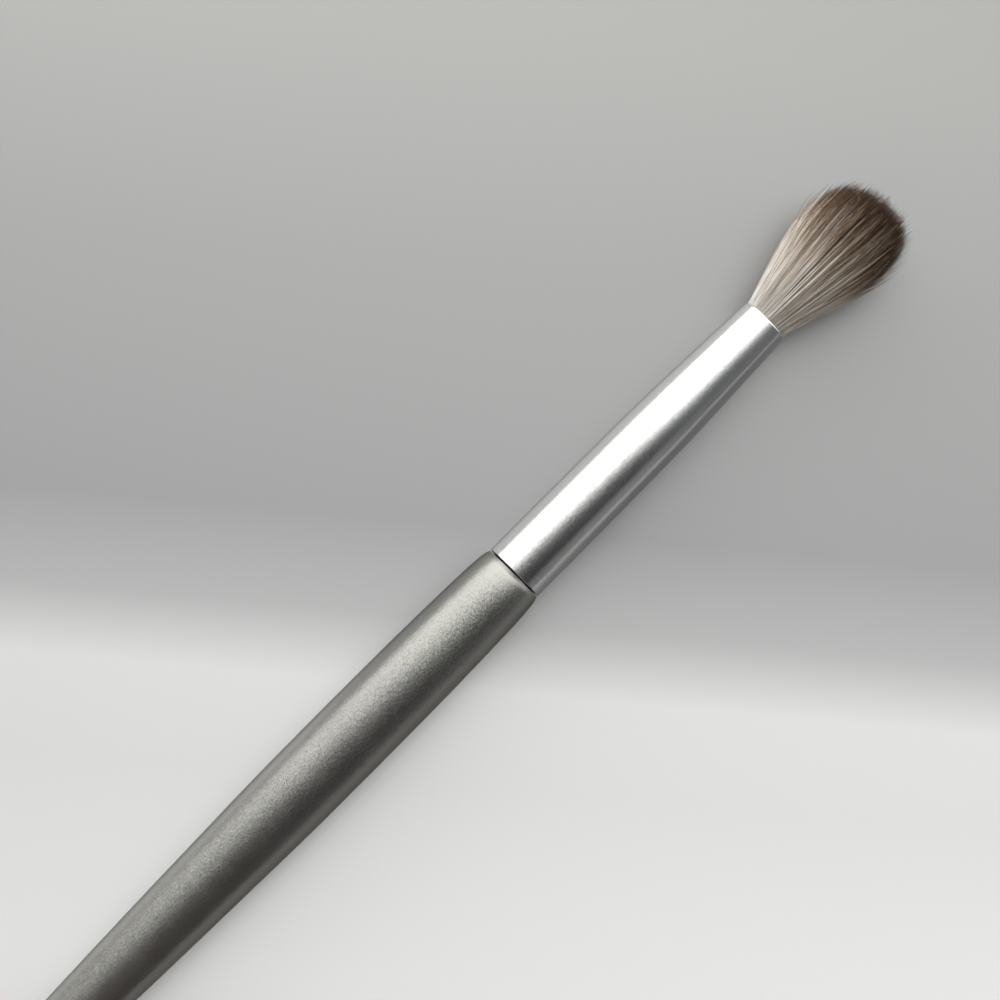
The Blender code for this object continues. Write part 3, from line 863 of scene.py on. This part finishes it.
def make_hair(fibre):
    """The four bundles of fibres, each on its slice of the root bed."""
    paths, root_share, tones, stoutness = make_fibres(np.random.default_rng(SEED))
    paths = lift_off_ground(paths)
    ends = (*BUNDLE_SHARES[1:-1], math.inf)
    for index, name in enumerate(BUNDLE_NAMES):
        mine = (root_share >= BUNDLE_SHARES[index]) & (root_share < ends[index])
        shape = bmesh.new()
        for part in (fibre_mesh(paths[mine], tones[mine], stoutness[mine]), bed_mesh(index)):
            shape.from_mesh(part)
            bpy.data.meshes.remove(part)
        mesh = bpy.data.meshes.new("fibres_" + name)
        shape.to_mesh(mesh)
        shape.free()
        add_piece("fibres_" + name, mesh, fibre, "hair_" + name)


def camera_axes():
    """Right, up and back directions of the camera, which looks down on the lying brush."""
    back = OVER * math.cos(BRUSH_TILT_AWAY) - ALONG * math.sin(BRUSH_TILT_AWAY)
    flat = (ALONG + back * math.sin(BRUSH_TILT_AWAY)).normalized()
    square = back.cross(flat)
    right = flat * math.cos(BRUSH_ANGLE) - square * math.sin(BRUSH_ANGLE)
    up = flat * math.sin(BRUSH_ANGLE) + square * math.cos(BRUSH_ANGLE)
    return right, up, back


def make_camera():
    """Camera at the photograph's place over the brush."""
    right, up, back = camera_axes()
    focal = LENS / SENSOR * IMAGE_SIZE
    aside = (JOINT_PIXEL[0] - IMAGE_SIZE / 2.0) / focal * JOINT_DISTANCE
    above = (IMAGE_SIZE / 2.0 - JOINT_PIXEL[1]) / focal * JOINT_DISTANCE
    data = bpy.data.cameras.new("camera")
    data.lens = LENS
    data.sensor_width = SENSOR
    data.clip_start = NEAREST_SEEN
    data.clip_end = FARTHEST_SEEN
    camera = bpy.data.objects.new("camera", data)
    bpy.context.scene.collection.objects.link(camera)
    camera.rotation_euler = Matrix((right, up, back)).transposed().to_euler()
    camera.location = JOINT - right * aside - up * above + back * JOINT_DISTANCE
    bpy.context.scene.camera = camera


def make_lamp(name, angle, radiance, colour):
    """A soft square lamp at an angle round the brush, aimed at the joint, that no reflection shows."""
    data = bpy.data.lights.new(name, "AREA")
    data.shape = "SQUARE"
    data.size = LAMP_SIDE
    data.energy = radiance * math.pi * LAMP_SIDE * LAMP_SIDE
    data.color = colour
    lamp = bpy.data.objects.new(name, data)
    bpy.context.scene.collection.objects.link(lamp)
    direction = OVER * math.cos(angle) + LEFT * math.sin(angle) + ALONG * LAMP_LEAD
    lamp.location = JOINT + direction.normalized() * LAMP_DISTANCE
    lamp.rotation_euler = direction.to_track_quat("Z", "Y").to_euler()
    lamp.visible_glossy = False


def bright_side(tree, place):
    """The bright side, to the left and the hair: wider by the hair, dimmer low down and to the tail."""
    lit_side = ALONG * math.cos(LIGHT_SLANT) + LEFT * math.sin(LIGHT_SLANT)
    share = carried_over(tree, reach_along(tree, place, lit_side), (0.0, 1.0), LIT_LIMITS)
    widening = towards(tree, place, ALONG, WIDENING_LIMITS)
    bright = ramp_of(tree, reckoned(tree, "MULTIPLY_ADD", widening, WIDENING, share), BRIGHT_STOPS)
    low_fade = carried_over(tree, towards(tree, place, OVER, LOW_LIMITS), (LOW_LIGHT, 1.0))
    tail_fade = carried_over(tree, towards(tree, place, ALONG, TAIL_LIMITS), (TAIL_LIGHT, 1.0))
    return scaled(tree, scaled(tree, bright, low_fade), tail_fade)


def dim_side(tree, place):
    """Dim grey all round, with a dark flag on the right and a low glow beside the ferrule's base."""
    flag = towards(tree, place, -LEFT, FLAG_SIDE_LIMITS)
    flag = reckoned(tree, "MULTIPLY", flag, towards(tree, place, ALONG, FLAG_TAIL_LIMITS))
    flag = reckoned(tree, "MULTIPLY", flag, towards(tree, place, ALONG, FLAG_HEAD_LIMITS))
    warmth = towards(tree, place, ALONG, FLAG_WARMTH_LIMITS)
    shade = blended(tree, flag, DIM_GREY, blended(tree, warmth, WARM_FLAG, COOL_FLAG))
    glow = towards(tree, place, -LEFT, GLOW_SIDE_LIMITS)
    glow = reckoned(tree, "MULTIPLY", glow, towards(tree, place, ALONG, GLOW_TAIL_LIMITS))
    glow = reckoned(tree, "MULTIPLY", glow, towards(tree, place, ALONG, GLOW_HEAD_LIMITS))
    return blended(tree, glow, shade, LOW_GLOW)


def make_world():
    """Studio light round the brush: a bright side, a dim side, and the two ends in place of both."""
    world = bpy.data.worlds.new("studio")
    bpy.context.scene.world = world
    world.use_nodes = True
    tree = world.node_tree
    shader = tree.nodes["Background"]
    place = node(tree, "ShaderNodeTexCoord").outputs["Generated"]
    light = vector_reckoned(tree, "ADD", bright_side(tree, place), dim_side(tree, place))
    light = blended(tree, towards(tree, place, ALONG, BEHIND_LIMITS), light, BEHIND_LIGHT)
    beside = towards(tree, place, LEFT, AHEAD_SIDE_LIMITS)
    front = blended(tree, beside, AHEAD_RIGHT, AHEAD_LEFT)
    light = blended(tree, towards(tree, place, ALONG, AHEAD_LIMITS), light, front)
    tree.links.new(light, shader.inputs["Color"])
    shader.inputs["Strength"].default_value = 1.0


def make_floor():
    """The sheet that the brush lies on."""
    mesh = bpy.data.meshes.new("floor")
    sheet = bmesh.new()
    bmesh.ops.create_grid(sheet, x_segments=1, y_segments=1, size=FLOOR_HALF_SIDE)
    sheet.to_mesh(mesh)
    sheet.free()
    floor = bpy.data.objects.new("floor", mesh)
    floor.data.materials.append(floor_material())
    bpy.context.scene.collection.objects.link(floor)


def build_scene():
    """Dress the brush, then light it and aim the camera."""
    grain = fine_grain_group()
    dress_turned("handle", "turned_handle", paint_material(grain))
    dress_turned("ferrule", "drawn_ferrule", aluminium_material(grain))
    for node_name, finish in INNER_FINISHES.items():
        frame["nodes"][node_name].data.materials.clear()
        frame["nodes"][node_name].data.materials.append(cloudy_material(*finish))
    make_hair(fibre_material())
    make_camera()
    make_world()
    make_lamp("key", KEY_ANGLE, KEY_RADIANCE, KEY_COLOUR)
    make_lamp("fill", FILL_ANGLE, FILL_RADIANCE, FILL_COLOUR)
    make_floor()
    bpy.context.scene.view_settings.view_transform = "Standard"


build_scene()
